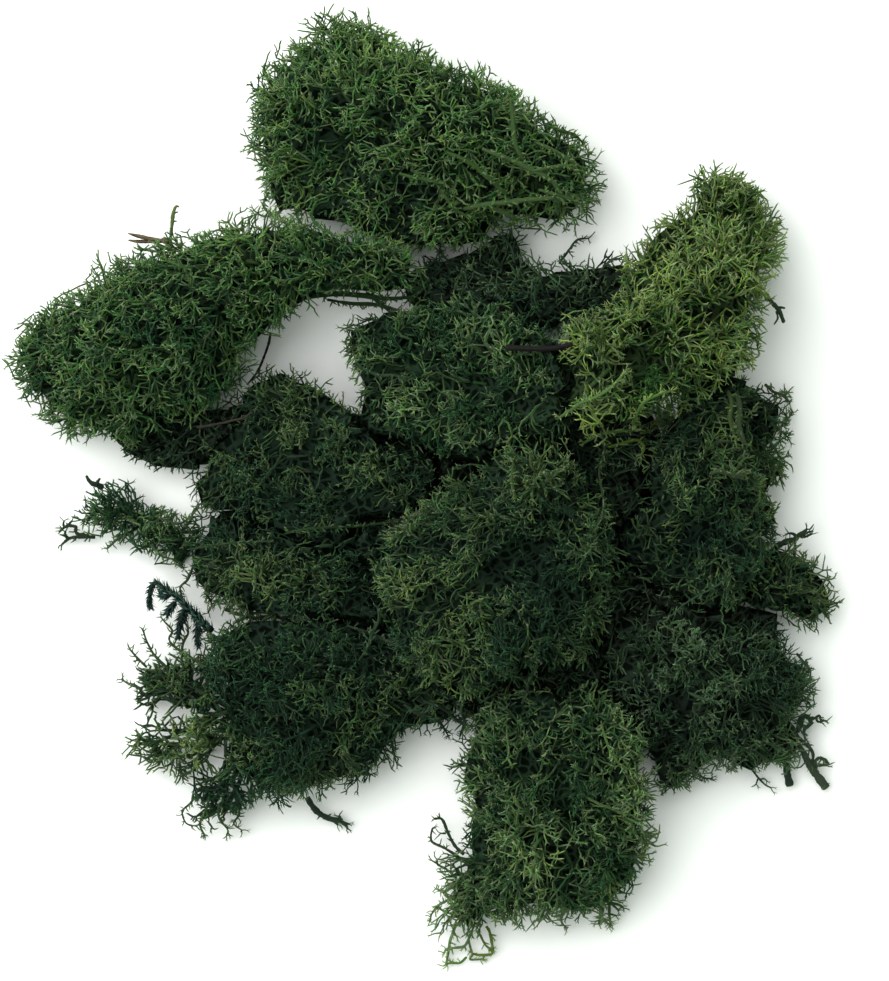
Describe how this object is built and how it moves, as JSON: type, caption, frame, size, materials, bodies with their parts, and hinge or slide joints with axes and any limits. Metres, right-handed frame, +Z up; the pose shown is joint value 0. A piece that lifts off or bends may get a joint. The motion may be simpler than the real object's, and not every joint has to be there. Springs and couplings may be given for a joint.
{
  "type": "moss clump",
  "caption": "Heap of dyed reindeer moss: springy, finely forked green tufts tangled together with loose sprigs, lying flat, for plant pots, floral work and model scenery.",
  "frame": {"origin": "middle of the clump's footprint, on the flat surface that it lies on", "axes": "+Z up from the surface, +Y away from the viewer along the clump's longest side, +X to the right as seen from above"},
  "size_m": [0.1252, 0.1434, 0.0322],
  "materials": {
    "light_moss": "matte, yellow-green dyed lichen with paler tips",
    "green_moss": "matte, leaf-green dyed lichen, darker inside",
    "dark_moss": "matte, deep green dyed lichen, nearly black inside",
    "sprig_moss": "matte, green dyed lichen branches",
    "cut_stems": "satin, smooth olive stems with cut ends",
    "feather_moss": "matte, blue-black scaly leaves",
    "pale_stalk": "matte, pale green curled branch",
    "red_bark": "matte, red-brown bark",
    "black_bark": "matte, nearly black bark",
    "dry_needle": "satin, dry brown pine needles"
  },
  "bodies": {
    "root": {"back_tuft": "dark_moss", "black_twig": "black_bark", "bottom_left_antler": "sprig_moss", "bottom_right_sprig": "sprig_moss", "bottom_tip_sprig": "sprig_moss", "bottom_tuft": "light_moss", "centre_base_tuft": "dark_moss", "centre_top_tuft": "light_moss", "centre_tuft": "green_moss", "curled_stalk": "pale_stalk", "dark_rootlet": "black_bark", "feather_moss_shoot": "feather_moss", "left_claw_sprig": "sprig_moss", "left_horn_sprig": "sprig_moss", "left_middle_tuft": "green_moss", "left_sprig_tuft": "green_moss", "left_tuft": "green_moss", "lower_left_stem": "cut_stems", "lower_left_tuft": "green_moss", "lower_right_antler": "sprig_moss", "lower_right_stem": "cut_stems", "lower_right_thread": "sprig_moss", "lower_right_tuft": "dark_moss", "mid_left_tuft": "green_moss", "pine_needle_pair": "dry_needle", "red_twig": "red_bark", "right_edge_tuft": "dark_moss", "right_horn_sprig": "sprig_moss", "right_middle_tuft": "dark_moss", "right_tuft": "light_moss", "short_cut_stem": "cut_stems", "small_right_sprig": "sprig_moss", "top_tuft": "green_moss", "under_left_tuft": "dark_moss"}
  },
  "joints": []
}
